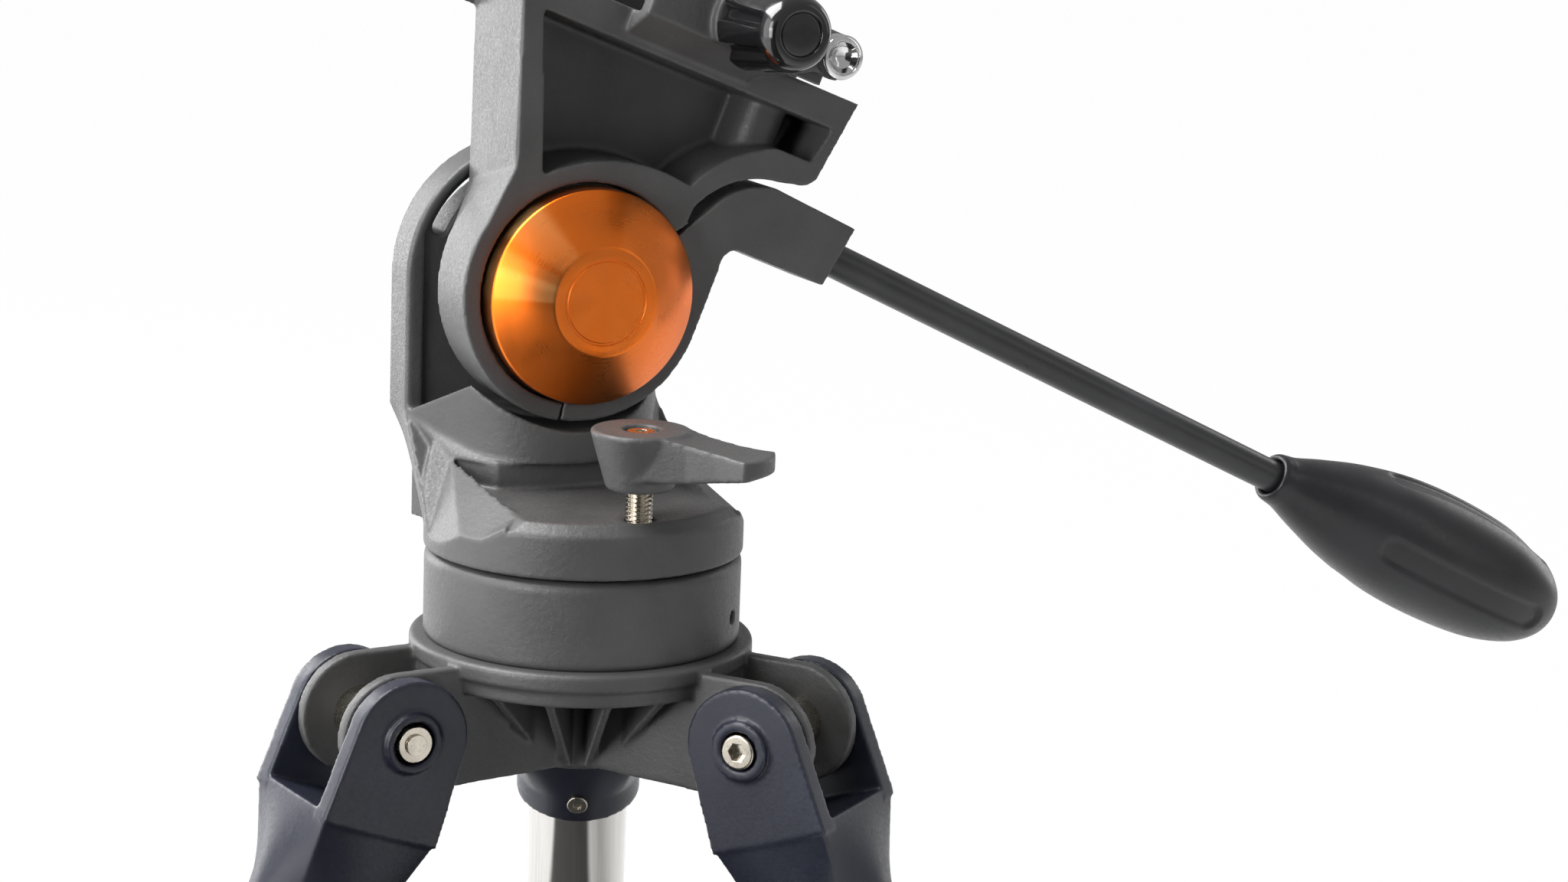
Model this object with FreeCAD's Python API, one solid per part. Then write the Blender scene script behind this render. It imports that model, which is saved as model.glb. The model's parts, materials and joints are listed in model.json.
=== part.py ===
import FreeCAD, Part
import math
import os

# Alt-azimuth mount head on a folding tripod hub, in millimetres.
# Origin: centre of the hub's flat underside, on the azimuth axis. +Z is the azimuth axis, the
# altitude axis is parallel to Y with its clutch knob on the -Y side, and the pan handle leaves
# towards +X.

V = FreeCAD.Vector
X_AXIS = V(1, 0, 0)
Y_AXIS = V(0, 1, 0)
Z_AXIS = V(0, 0, 1)

# ---- driving dimensions ------------------------------------------------------------------

# tripod hub
PIVOT_R = 65.8            # leg pivots from the azimuth axis
PIVOT_Z = 17.6
LUG_R = 17.6              # round end of a hub lug about its pivot
LUG_OUTER = 15.0          # outer face of a lug plate from the arm's middle plane
LUG_PLATE = 4.0
LUG_ROOT_Z = 1.5          # underside of a lug where it meets the middle boss
FLANGE_R = 50.0
FLANGE_BOTTOM = 32.0
FLANGE_TOP = 37.2
BOSS_R = 17.5
LEG_AZIMUTHS = (66.1, 186.1, 306.1)

# folding legs
LEG_SPLAY = 20.1          # degrees from vertical, deployed
EAR_INNER = 16.0
EAR_OUTER = 22.6
EAR_R = 17.4
YOKE_BRIDGE = 24.5        # down the leg from the pivot
SOCKET_R = 19.5
SOCKET_END = 58.0
TUBE_OD_R = 31.75 / 2     # 1.25 inch leg tube
TUBE_ID_R = 14.675
TUBE_TOP = 30.0
TUBE_END = 132.0
PIN_R = 3.0               # M6 pivot bolt
PIN_BORE_R = 3.05

# azimuth bearing
BASE_R = 46.0
BASE_TOP = 62.6
DISC_R = 46.3
DISC_BOTTOM = 63.4
DISC_WALL_TOP = 75.8
DISC_TOP = 79.0
DISC_FLOOR_R = 43.0
SKIRT_LOW = (47.5, 66.2)  # sloping sides of the turntable, x and z
SKIRT_TOP = 31.0
FOOT_LOW = 67.5           # where the foot of the upright leaves the turntable
FOOT_TOP = 96.6
LEDGE_Z = 86.5            # underside of the ledge over the lever well
SPINDLE_R = 8.0
SPINDLE_TIP_R = 6.0       # M12

# altitude bearing
ALT_Z = 136.0
PLATE_FRONT = 40.0
PLATE_BACK = 54.0
PLATE_R = 40.3            # round top of the upright, and its half width
PANEL_R = 37.2            # sunk panel: round top, half width of its straight sides, depth
PANEL_HALF = 35.0
PANEL_DEPTH = 1.6
STOP_R = 33.3             # altitude stop pin and its slot
STOP_PIN_R = 1.8
STOP_ANGLE = 104          # degrees round from +X at the rest pose
CRADLE_R = 40.0
DRUM_R = 37.5
DRUM_BACK = 24.0
BEARING_R = 30.0          # smaller boss behind the drum, out to the friction washer
BEARING_BACK = 38.0
FACE_Y = 3.0              # front face of the altitude head
BRACKET_BACK = 12.0
COUNTERBORE_R = 32.2
SHAFT_R = 6.0
SHAFT_TIP_R = 5.0         # M10

# altitude head and saddle
TILT = 21.3               # degrees the saddle slopes down towards the handle at rest
HEAD_BACK = 39.2
SEAT_V = 80.6             # dovetail seat above the altitude axis
SEAT_FRONT = 1.5
SEAT_BACK = 47.0
JAW_TOP = 92.6
SADDLE_BACK = 56.0
SADDLE_LEFT = -54.5
SADDLE_RIGHT = 60.8
CLAMP_U = 14.3            # clamp screw along the saddle
CLAMP_V = 89.3
THUMB_U = 36.9

# pan handle
ROD_R = 5.25
ROD_Y = 13.0
ROD_SLOPE = 25.27         # degrees below horizontal at rest
ROD_X = 86.5              # where the rod leaves the bracket
ROD_Z = 140.3
ROD_SUNK = 22.0
GRIP_START = 178.0
GRIP_PROFILE = ((6.6, 0.0), (8.6, 6.0), (12.6, 18.0), (17.0, 34.0), (20.4, 54.0),
                (21.3, 76.0), (20.0, 98.0), (16.4, 114.0), (9.6, 125.0), (0.0, 128.5))

# azimuth lock
STUD_Y = -38.0
STUD_R = 4.0              # M8
STUD_BORE_R = 4.05
LEVER_BOTTOM = 88.0
LEVER_TOP = 105.0
LEVER_REST = -52.0        # degrees, direction the lever points at rest


# ---- small builders ----------------------------------------------------------------------

def cyl_z(x, y, radius, z0, z1):
    return Part.makeCylinder(radius, z1 - z0, V(x, y, z0), Z_AXIS)


def cyl_y(x, z, radius, y0, y1):
    return Part.makeCylinder(radius, y1 - y0, V(x, y0, z), Y_AXIS)


def ring_z(x, y, outer, inner, z0, z1):
    return cyl_z(x, y, outer, z0, z1).cut(cyl_z(x, y, inner, z0 - 1, z1 + 1))


def ring_y(x, z, outer, inner, y0, y1):
    return cyl_y(x, z, outer, y0, y1).cut(cyl_y(x, z, inner, y0 - 1, y1 + 1))


def box(x0, x1, y0, y1, z0, z1):
    return Part.makeBox(x1 - x0, y1 - y0, z1 - z0, V(x0, y0, z0))


def outline(start, steps, lift):
    """A closed wire. A step is an end point, or a pair (point on the arc, end point)."""
    edges = []
    here = start
    for step in steps:
        if isinstance(step[0], tuple):
            through, end = step
            edges.append(Part.Arc(lift(here), lift(through), lift(end)).toShape())
        else:
            end = step
            edges.append(Part.makeLine(lift(here), lift(end)))
        here = end
    if math.dist(here, start) > 1e-6:
        edges.append(Part.makeLine(lift(here), lift(start)))
    return Part.Wire(edges)


def prism_y(start, steps, y0, y1):
    """An outline in x and z, extruded along Y."""
    wire = outline(start, steps, lambda p: V(p[0], y0, p[1]))
    return Part.Face(wire).extrude(V(0, y1 - y0, 0))


def prism_z(start, steps, z0, z1):
    """An outline in x and y, extruded along Z."""
    wire = outline(start, steps, lambda p: V(p[0], p[1], z0))
    return Part.Face(wire).extrude(V(0, 0, z1 - z0))


def prism_x(start, steps, x0, x1):
    """An outline in y and z, extruded along X."""
    wire = outline(start, steps, lambda p: V(x0, p[0], p[1]))
    return Part.Face(wire).extrude(V(x1 - x0, 0, 0))


def turned(profile, origin, axis, radial):
    """A solid of revolution. Each profile point is (radius, distance along the axis)."""
    points = [origin + radial * r + axis * s for r, s in profile]
    face = Part.Face(Part.makePolygon(points + [points[0]]))
    return face.revolve(origin, axis, 360)


def hex_prism(centre, axis, across_flats, height):
    """A hexagonal prism starting at centre and rising along the axis."""
    radius = across_flats / math.sqrt(3)
    corners = []
    for i in range(7):
        turn = math.radians(60 * i)
        corners.append(V(radius * math.cos(turn), radius * math.sin(turn), 0))
    prism = Part.Face(Part.makePolygon(corners)).extrude(V(0, 0, height))
    prism.Placement = FreeCAD.Placement(centre, FreeCAD.Rotation(Z_AXIS, axis))
    return prism


def cap_screw(seat, axis, shank_r, length, head_r, head_height, socket):
    """A socket cap screw: head above the seat, shank running back along the axis."""
    head = Part.makeCylinder(head_r, head_height, seat, axis)
    edge = [e for e in head.Edges if e.BoundBox.isValid() and e.Curve.TypeId.endswith("Circle")
            and abs((e.Curve.Center - seat).Length - head_height) < 0.01]
    head = head.makeFillet(0.12 * head_r, edge)
    shank = Part.makeCylinder(shank_r, length, seat, axis * -1)
    depth = 0.55 * head_height
    return head.fuse(shank).cut(hex_prism(seat + axis * (head_height - depth), axis, socket,
                                          depth + 1))


def spun(shape, angle, centre=V(0, 0, 0), axis=Z_AXIS):
    turned_copy = shape.copy()
    turned_copy.rotate(centre, axis, angle)
    return turned_copy


def three_around(shape, first=LEG_AZIMUTHS[0]):
    return [spun(shape, first + 120 * i) for i in range(3)]


def fuse_all(shapes):
    result = shapes[0]
    for shape in shapes[1:]:
        result = result.fuse(shape)
    return result.removeSplitter()


def circle_edges(shape, radius, height, tolerance=0.05):
    """Horizontal circular edges of a given radius at a given height."""
    found = []
    for edge in shape.Edges:
        curve = edge.Curve
        if not curve.TypeId.endswith("Circle"):
            continue
        if abs(curve.Radius - radius) < tolerance and abs(curve.Center.z - height) < tolerance:
            found.append(edge)
    return found


# ---- tripod hub --------------------------------------------------------------------------

def hub_lug_pair():
    """One arm of the hub along +X: two plates with round ends, tied by a wall and a web."""
    parts = []
    for side in (-1, 1):
        low = min(side * LUG_OUTER, side * (LUG_OUTER - LUG_PLATE))
        plate = prism_y(
            (12.0, LUG_ROOT_Z),
            [(PIVOT_R, 0.0), ((PIVOT_R + LUG_R, PIVOT_Z), (PIVOT_R, PIVOT_Z + LUG_R)),
             (12.0, PIVOT_Z + LUG_R)],
            low, low + LUG_PLATE)
        parts.append(plate)
    inner = LUG_OUTER - LUG_PLATE
    parts.append(box(41.0, 45.0, -inner, inner, LUG_ROOT_Z, FLANGE_BOTTOM + 1.0))
    parts.append(box(12.0, 45.0, -inner, inner, LUG_ROOT_Z, LUG_ROOT_Z + 3.0))
    arm = fuse_all(parts)
    return arm.cut(cyl_y(PIVOT_R, PIVOT_Z, PIN_BORE_R, -30, 30))


def hub_rib():
    """A sloping web from the rim skirt down to the middle boss, along +X."""
    return prism_y((14.0, 1.5), [(18.6, 1.5), (47.6, 27.5), (47.6, 33.0), (14.0, 33.0)],
                   -1.3, 1.3)


def tripod_hub():
    flange = cyl_z(0, 0, FLANGE_R, FLANGE_BOTTOM, FLANGE_TOP)
    flange = flange.makeFillet(1.2, circle_edges(flange, FLANGE_R, FLANGE_TOP))
    skirt = ring_z(0, 0, 48.6, 44.5, 27.4, FLANGE_BOTTOM + 0.5)
    boss = cyl_z(0, 0, BOSS_R, 0.0, FLANGE_BOTTOM + 0.5)
    boss = boss.makeFillet(1.0, circle_edges(boss, BOSS_R, 0.0))
    parts = [flange, skirt, boss]
    parts += three_around(hub_lug_pair())
    for azimuth in LEG_AZIMUTHS:
        for offset in (-30, -10, 10, 30):
            parts.append(spun(hub_rib(), azimuth + 60 + offset))
    hub = fuse_all(parts)
    hub = hub.cut(cyl_z(0, 0, 13.5, 10.0, 40.0))
    for azimuth in LEG_AZIMUTHS:
        hole = cyl_z(38.0, 0, 2.6, 20.0, 40.0)
        hub = hub.cut(spun(hole, azimuth + 60))
    return hub


def base_fixing_screws():
    seat = V(38.0, 0, FLANGE_BOTTOM)
    screw = cap_screw(seat, V(0, 0, -1), 2.5, 16.0, 4.25, 4.6, 4.0)
    return three_around(screw, LEG_AZIMUTHS[0] + 60)


# ---- folding legs ------------------------------------------------------------------------

def leg_frame(shape, azimuth):
    """Leg parts are drawn hanging straight down from a pivot at the origin."""
    placed = shape.copy()
    placed.rotate(V(0, 0, 0), Y_AXIS, -LEG_SPLAY)
    placed.translate(V(PIVOT_R, 0, PIVOT_Z))
    placed.rotate(V(0, 0, 0), Z_AXIS, azimuth)
    return placed


def yoke_ear(side):
    """A flat ear beside the hub lug with a raised round pad for the bolt head or nut."""
    low = EAR_INNER if side > 0 else -EAR_OUTER
    high = EAR_OUTER if side > 0 else -EAR_INNER
    ear = prism_y(
        (-EAR_R, 0.0),
        [((0.0, EAR_R), (EAR_R, 0.0)), (18.6, -YOKE_BRIDGE - 3), (-18.6, -YOKE_BRIDGE - 3)],
        low, high)
    pad_low = EAR_OUTER - 1 if side > 0 else -EAR_OUTER - 1.9
    pad = cyl_y(0, 0, 8.6, pad_low, pad_low + 2.9)
    window = 6.3 if side > 0 else 5.6
    sink_low = 19.5 if side > 0 else -30.0
    ear = ear.fuse(pad).cut(cyl_y(0, 0, window, sink_low, sink_low + 10.5))
    return ear


def socket_body():
    """The block below the ears narrowing from a rectangle to the round tube socket."""
    top_z = -YOKE_BRIDGE
    half_t = EAR_OUTER
    half_n = 18.6
    top = Part.makePolygon([V(half_n, half_t, top_z), V(-half_n, half_t, top_z),
                            V(-half_n, -half_t, top_z), V(half_n, -half_t, top_z),
                            V(half_n, half_t, top_z)])
    arcs = []
    for i in range(4):
        turn = [math.radians(a) for a in (45 + 90 * i, 90 + 90 * i, 135 + 90 * i)]
        points = [V(SOCKET_R * math.cos(t), SOCKET_R * math.sin(t), -50.0) for t in turn]
        arcs.append(Part.Arc(*points).toShape())
    throat = Part.makeLoft([top, Part.Wire(arcs)], True, True)
    collar = cyl_z(0, 0, SOCKET_R, -SOCKET_END, -50.0)
    return throat.fuse(collar)


def leg_yoke():
    yoke = fuse_all([yoke_ear(-1), yoke_ear(1), socket_body()])
    relief = cyl_y(0, 0, YOKE_BRIDGE, -EAR_INNER, EAR_INNER)
    yoke = yoke.cut(relief)
    yoke = yoke.cut(cyl_z(0, 0, TUBE_OD_R, -SOCKET_END - 1, -TUBE_TOP))
    yoke = yoke.cut(cyl_y(0, 0, PIN_BORE_R, -40, 40))
    screw_hole = Part.makeCylinder(2.0, 8, V(-SOCKET_R - 2, 0, -50.5), X_AXIS)
    return yoke.cut(screw_hole)


def leg_tube():
    tube = cyl_z(0, 0, TUBE_OD_R, -TUBE_END, -TUBE_TOP)
    return tube.cut(cyl_z(0, 0, TUBE_ID_R, -TUBE_END - 1, -TUBE_TOP + 1))


def leg_set_screw():
    seat = V(-SOCKET_R - 0.05, 0, -50.5)
    return cap_screw(seat, V(-1, 0, 0), 1.95, SOCKET_R - TUBE_OD_R, 3.2, 1.3, 2.4)


def leg_pivot_bolt():
    return cap_screw(V(PIVOT_R, -19.5, PIVOT_Z), V(0, -1, 0), PIN_R, 45.0, 5.0, 5.6, 5.0)


def leg_pivot_nut():
    nut = hex_prism(V(PIVOT_R, 19.55, PIVOT_Z), Y_AXIS, 10.0, 5.0)
    round_off = Part.makeCone(6.6, 5.0, 5.2, V(PIVOT_R, 19.5, PIVOT_Z), Y_AXIS)
    return nut.common(round_off).cut(cyl_y(PIVOT_R, PIVOT_Z, PIN_R, 15, 30))


def leg_pivot_spacer():
    inner = LUG_OUTER - LUG_PLATE
    return ring_y(PIVOT_R, PIVOT_Z, 8.0, PIN_R, -inner, inner)


def leg_pivot_washers():
    near = ring_y(PIVOT_R, PIVOT_Z, 8.0, PIN_BORE_R, -LUG_OUTER - 0.9, -LUG_OUTER)
    far = ring_y(PIVOT_R, PIVOT_Z, 8.0, PIN_BORE_R, LUG_OUTER, LUG_OUTER + 0.9)
    return three_around(near) + three_around(far)


# ---- azimuth bearing ---------------------------------------------------------------------

def azimuth_base():
    body = cyl_z(0, 0, BASE_R, FLANGE_TOP, BASE_TOP)
    body = body.makeFillet(3.0, circle_edges(body, BASE_R, BASE_TOP))
    cavity = ring_z(0, 0, 33.0, 17.0, 43.5, BASE_TOP + 1)
    groove = ring_z(0, 0, BASE_R + 2, BASE_R - 0.7, FLANGE_TOP - 1, FLANGE_TOP + 0.9)
    body = body.cut(cavity).cut(groove).cut(cyl_z(0, 0, 11.0, 30, 70))
    for azimuth in LEG_AZIMUTHS:
        body = body.cut(spun(cyl_z(38.0, 0, 2.5, 30, 48.5), azimuth + 60))
    grub_hole = Part.makeCylinder(2.0, 16, V(32, 0, 46.1), X_AXIS)
    return body.cut(spun(grub_hole, -43))


def base_set_screw():
    grub = Part.makeCylinder(2.0, 9.0, V(35, 0, 46.1), X_AXIS)
    grub = grub.cut(hex_prism(V(41.5, 0, 46.1), X_AXIS, 2.0, 4.0))
    return spun(grub, -43)


def azimuth_spindle():
    upper = cyl_z(0, 0, SPINDLE_R, 37.3, 72.0)
    tip = cyl_z(0, 0, SPINDLE_TIP_R, 20.0, 37.3)
    return upper.fuse(tip)


def spindle_nut():
    nut = hex_prism(V(0, 0, 24.9), Z_AXIS, 18.0, 10.0)
    return nut.cut(cyl_z(0, 0, SPINDLE_TIP_R, 20, 40))


# ---- azimuth arm -------------------------------------------------------------------------

def arm_disc():
    """The turntable: a flat disc whose left and right sides slope away."""
    disc = cyl_z(0, 0, DISC_R, DISC_BOTTOM, DISC_WALL_TOP)
    chamfer = Part.makeCone(DISC_R, DISC_FLOOR_R, DISC_TOP - DISC_WALL_TOP,
                            V(0, 0, DISC_WALL_TOP), Z_AXIS)
    low_x, low_z = SKIRT_LOW
    skirt = prism_y((-60.0, 50.0), [(60.0, 50.0), (low_x, low_z), (SKIRT_TOP, DISC_TOP),
                                    (SKIRT_TOP, 90.0), (-SKIRT_TOP, 90.0),
                                    (-SKIRT_TOP, DISC_TOP), (-low_x, low_z)], -60.0, 60.0)
    return disc.fuse(chamfer).common(skirt)


def arm_ramp():
    """The rear half of the disc drawn up and out into the foot of the upright."""
    radius = BASE_R
    turns = [math.radians(a) for a in (172.5, 152, 132, 90, 48, 28, 7.5)]
    on_rim = [V(radius * math.cos(t), radius * math.sin(t), FOOT_LOW) for t in turns]
    lower = Part.Wire([
        Part.Arc(on_rim[0], on_rim[1], on_rim[2]).toShape(),
        Part.Arc(on_rim[2], on_rim[3], on_rim[4]).toShape(),
        Part.Arc(on_rim[4], on_rim[5], on_rim[6]).toShape(),
        Part.makeLine(on_rim[6], on_rim[0])])
    upper = Part.makePolygon([V(-PLATE_R, PLATE_FRONT, FOOT_TOP), V(-PLATE_R, PLATE_BACK, FOOT_TOP),
                              V(PLATE_R, PLATE_BACK, FOOT_TOP), V(PLATE_R, PLATE_FRONT, FOOT_TOP),
                              V(-PLATE_R, PLATE_FRONT, FOOT_TOP)])
    return Part.makeLoft([lower, upper], True, True)


def wedge_under(corners):
    """A solid from the turntable's underside up to a sloping triangle."""
    low = [V(p.x, p.y, DISC_BOTTOM + 1.0) for p in corners]
    return Part.makeLoft([Part.makePolygon(low + [low[0]]),
                          Part.makePolygon(corners + [corners[0]])], True, True)


def arm_shoulder(side):
    """The faceted flank running from the upright's corner down to the disc's front edge."""
    corner = V(side * PLATE_R, PLATE_FRONT, FOOT_TOP)
    ledge_end = V(side * 33.5, 20.6, LEDGE_Z)
    well_end = V(side * 30.0, -22.0, DISC_TOP)
    rear_rim = V(side * 48.5, 1.9, 63.8)
    middle_rim = V(side * 46.3, -20.8, 68.8)
    front_rim = V(side * 39.6, -32.1, 75.7)
    facets = ((corner, rear_rim, ledge_end), (rear_rim, middle_rim, ledge_end),
              (middle_rim, well_end, ledge_end), (middle_rim, front_rim, well_end))
    flank = fuse_all([wedge_under(list(facet)) for facet in facets])
    return flank.common(cyl_z(0, 0, DISC_R, DISC_BOTTOM, FOOT_TOP + 1))


def arm_brow():
    """The sloping brow between the column's face and the ledge over the lever well."""
    inset = 0.2
    side = PLATE_R - inset
    back = PLATE_BACK - inset
    lower = outline((-33.7, 20.4), [((0.0, 0.2), (33.7, 20.4)), (side, 38.0), (-side, 38.0)],
                    lambda p: V(p[0], p[1], LEDGE_Z))
    upper = outline((-side, PLATE_FRONT - inset),
                    [((0.0, 22.0), (side, PLATE_FRONT - inset)), (side, back), (-side, back)],
                    lambda p: V(p[0], p[1], FOOT_TOP - inset))
    return Part.makeLoft([lower, upper], True, True)


def arm_column():
    """The rounded column in front of the upright, cradling the altitude drum."""
    column = prism_z(
        (-PLATE_R, PLATE_FRONT),
        [(-29.8, 19.6), ((0.0, 0.5), (29.8, 19.6)), (PLATE_R, PLATE_FRONT),
         (PLATE_R, PLATE_BACK), (-PLATE_R, PLATE_BACK)],
        LEDGE_Z, 112.0)
    roof = prism_x((PLATE_FRONT + 0.01, 97.0), [(PLATE_BACK + 1, 89.5), (PLATE_BACK + 1, 120.0),
                                                (-5.0, 120.0)], -50.0, 50.0)
    return column.cut(roof).cut(cyl_y(0, ALT_Z, CRADLE_R, -10.0, PLATE_BACK + 1))


def arm_core():
    """The wall behind the lever well, under the ledge."""
    return prism_z((-33.3, 20.9),
                   [(-24.0, 8.0), ((0.0, 4.4), (24.0, 8.0)), (33.3, 20.9), (38.0, 41.0),
                    (-38.0, 41.0)],
                   DISC_BOTTOM + 2.0, LEDGE_Z + 0.5)


def arm_upright():
    """The upright plate with its round top and a sunk panel inside a rim."""
    half = PLATE_R
    plate = prism_y((-half, FOOT_TOP), [(-half, ALT_Z), ((0, ALT_Z + half), (half, ALT_Z)),
                                        (half, FOOT_TOP)], PLATE_FRONT, PLATE_BACK)
    rim = [e for e in plate.Edges if abs(e.BoundBox.YMin - PLATE_FRONT) < 0.01
           and abs(e.BoundBox.YMax - PLATE_FRONT) < 0.01 and e.BoundBox.ZMax > 97.0]
    plate = plate.makeChamfer(0.9, rim)
    turn_z = ALT_Z + math.sqrt(PANEL_R ** 2 - PANEL_HALF ** 2)
    panel = prism_y((-PANEL_HALF, 97.5),
                    [(-PANEL_HALF, turn_z), ((0, ALT_Z + PANEL_R), (PANEL_HALF, turn_z)),
                     (PANEL_HALF, 97.5)], PLATE_FRONT - 1, PLATE_FRONT + PANEL_DEPTH)
    plate = plate.cut(panel)
    return plate.fuse(cyl_y(0, ALT_Z, 26.0, PLATE_FRONT - 0.6, PLATE_BACK))


def stop_slot():
    """The curved slot that the altitude stop pin rides in, through the upright's panel."""
    start, end, radius, half = 62.0, 154.0, STOP_R, STOP_PIN_R + 0.5

    def at(r, angle):
        turn = math.radians(angle)
        return (r * math.cos(turn), ALT_Z + r * math.sin(turn))

    middle = (start + end) / 2
    cap = math.degrees(half / radius)
    return prism_y(
        at(radius - half, start),
        [(at(radius, start - cap), at(radius + half, start)),
         (at(radius + half, middle), at(radius + half, end)),
         (at(radius, end + cap), at(radius - half, end)),
         (at(radius - half, middle), at(radius - half, start))],
        PLATE_FRONT, PLATE_BACK + 1)


def azimuth_arm():
    arm = arm_upright()
    for piece in (arm_ramp(), arm_column(), arm_core(), arm_disc(),
                  arm_shoulder(-1), arm_shoulder(1), arm_brow()):
        arm = arm.fuse(piece)
    arm = arm.cut(cyl_y(0, ALT_Z, CRADLE_R, -10.0, PLATE_FRONT))
    arm = arm.cut(stop_slot())
    arm = arm.cut(cyl_y(0, ALT_Z, SHAFT_R, 30.0, 60.0))
    arm = arm.cut(cyl_y(0, ALT_Z, 13.0, 49.0, 60.0))
    arm = arm.cut(cyl_z(0, 0, SPINDLE_R, 60.0, 72.0))
    arm = arm.cut(cyl_z(0, STUD_Y, STUD_BORE_R, 60.0, 80.0))
    return arm


# ---- azimuth lock ------------------------------------------------------------------------

def lock_lever():
    """A tapered round hub with a flat paddle, drawn pointing along +X from the stud."""
    hub = Part.makeCone(9.5, 14.5, LEVER_TOP - LEVER_BOTTOM, V(0, 0, LEVER_BOTTOM), Z_AXIS)
    hub = hub.makeFillet(0.8, circle_edges(hub, 14.5, LEVER_TOP) + circle_edges(hub, 9.5, LEVER_BOTTOM))
    plan = prism_z((0.0, -11.0), [(18.0, -7.6), (28.0, -7.6), (37.0, -9.6),
                                  ((39.6, 0.0), (37.0, 9.6)), (28.0, 7.6), (18.0, 7.6),
                                  (0.0, 11.0)], LEVER_BOTTOM, LEVER_TOP)
    side = prism_y((-2.0, 91.5), [(14.0, 92.2), ((28.0, 94.2), (40.0, 96.4)), (40.0, 101.2),
                                  ((27.0, 102.4), (10.0, LEVER_TOP)), (-2.0, LEVER_TOP)],
                   -20.0, 20.0)
    lever = fuse_all([hub, plan.common(side)])
    lever = lever.cut(cyl_z(0, 0, 5.4, LEVER_TOP - 3.0, LEVER_TOP + 1))
    lever = lever.cut(cyl_z(0, 0, STUD_R, LEVER_BOTTOM - 1, 99.0))
    lever = lever.cut(cyl_z(0, 0, 2.05, 90.0, LEVER_TOP))
    return at_stud(lever)


def at_stud(shape):
    placed = shape.copy()
    placed.rotate(V(0, 0, 0), Z_AXIS, LEVER_REST)
    placed.translate(V(0, STUD_Y, 0))
    return placed


def lock_stud():
    stud = cyl_z(0, STUD_Y, STUD_R, 66.2, 99.0)
    stud = stud.makeChamfer(0.6, circle_edges(stud, STUD_R, 66.2) + circle_edges(stud, STUD_R, 99.0))
    return stud.cut(cyl_z(0, STUD_Y, 2.0, 93.0, 100.0))


def lever_cap_screw():
    return cap_screw(V(0, STUD_Y, LEVER_TOP - 3.0), Z_AXIS, 2.0, 8.8, 4.3, 2.4, 3.0)


# ---- altitude head -----------------------------------------------------------------------

def tilted(shape):
    """Head parts are drawn with the saddle level, then tipped to the rest position."""
    placed = shape.copy()
    placed.rotate(V(0, 0, ALT_Z), Y_AXIS, TILT)
    return placed


def uv(u, v):
    return (u, ALT_Z + v)


def head_section(low_corner, knee, y):
    """The head's outline at one depth; only its lower left corner changes with depth."""
    return outline(
        uv(*low_corner),
        [uv(*knee), uv(-50.4, 70.7), uv(SADDLE_LEFT, SEAT_V), uv(SADDLE_RIGHT, SEAT_V),
         uv(57.2, 58.0), (uv(55.4, 53.6), uv(51.0, 51.8)), uv(46.0, 50.6),
         (uv(31.4, 45.2), uv(22.6, 34.6)), uv(22.0, 29.5), uv(0.0, 0.0)],
        lambda p: V(p[0], y, p[1]))


def head_body():
    """Drum, flank and saddle plate before the pockets are cut."""
    front = head_section((-37.4, 0.0), (-34.4, 27.0), FACE_Y)
    middle = head_section((-37.4, 0.0), (-33.0, 21.9), DRUM_BACK)
    back = head_section((-30.4, 16.0), (-31.4, 18.9), HEAD_BACK)
    web = fuse_all([Part.makeLoft([front, middle], True, True),
                    Part.makeLoft([middle, back], True, True)])
    drum = cyl_y(0, ALT_Z, DRUM_R, FACE_Y, DRUM_BACK)
    boss = cyl_y(0, ALT_Z, BEARING_R, DRUM_BACK, BEARING_BACK)
    plate = prism_x(
        (HEAD_BACK - 1, ALT_Z + 66.0),
        [(SADDLE_BACK, ALT_Z + 73.5), (SADDLE_BACK, ALT_Z + JAW_TOP),
         (SEAT_BACK - 3.2, ALT_Z + JAW_TOP), (SEAT_BACK, ALT_Z + SEAT_V),
         (HEAD_BACK - 1, ALT_Z + SEAT_V)],
        SADDLE_LEFT, SADDLE_RIGHT)
    hidden = fuse_all([web, drum, boss, plate])
    return hidden.cut(cyl_y(0, ALT_Z, BEARING_R, BEARING_BACK, HEAD_BACK + 1))


def clamp_block():
    """The front jaw block on the saddle, with a pad for the clamp knob."""
    block = prism_x(
        (6.0, ALT_Z + 72.0),
        [(FACE_Y, ALT_Z + 73.3), (-7.0, ALT_Z + 80.4), (-7.0, ALT_Z + 95.5),
         (-5.5, ALT_Z + 97.0), (-1.4, ALT_Z + 97.0), (-1.4, ALT_Z + SEAT_V), (6.0, ALT_Z + SEAT_V)],
        -18.0, 46.0)
    undercut = prism_y((24.0, ALT_Z + 70.0), [(24.0, ALT_Z + 76.0), (38.0, ALT_Z + 83.5),
                                              (47.0, ALT_Z + 83.5), (47.0, ALT_Z + 70.0)],
                       -8.0, FACE_Y - 0.01)
    block = block.cut(undercut)
    pad = cyl_y(CLAMP_U, ALT_Z + CLAMP_V, 13.6, -10.0, -1.4)
    ceiling = box(-20, 50, -12, 0, ALT_Z + 97.0, ALT_Z + 110.0)
    low = box(-20, 50, -12, 0, ALT_Z + 60.0, ALT_Z + 80.4)
    return block.fuse(pad.cut(ceiling).cut(low))


def head_pocket():
    """The deep pocket in the head's front, with its round screw boss left standing."""
    pocket = prism_y(
        uv(-25.6, 27.4),
        [(uv(-5.0, 38.9), uv(19.1, 39.9)), (uv(28.8, 52.6), uv(41.5, 59.6)), uv(53.0, 59.6),
         uv(55.6, 70.8), uv(-43.4, 70.8)],
        FACE_Y - 1, 28.0)
    boss = cyl_z(39.5, 19.0, 7.0, ALT_Z + 52.0, ALT_Z + 72.0)
    behind = box(32.5, 46.5, 19.0, 29.0, ALT_Z + 52.0, ALT_Z + 72.0)
    return pocket.cut(boss).cut(behind)


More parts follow.
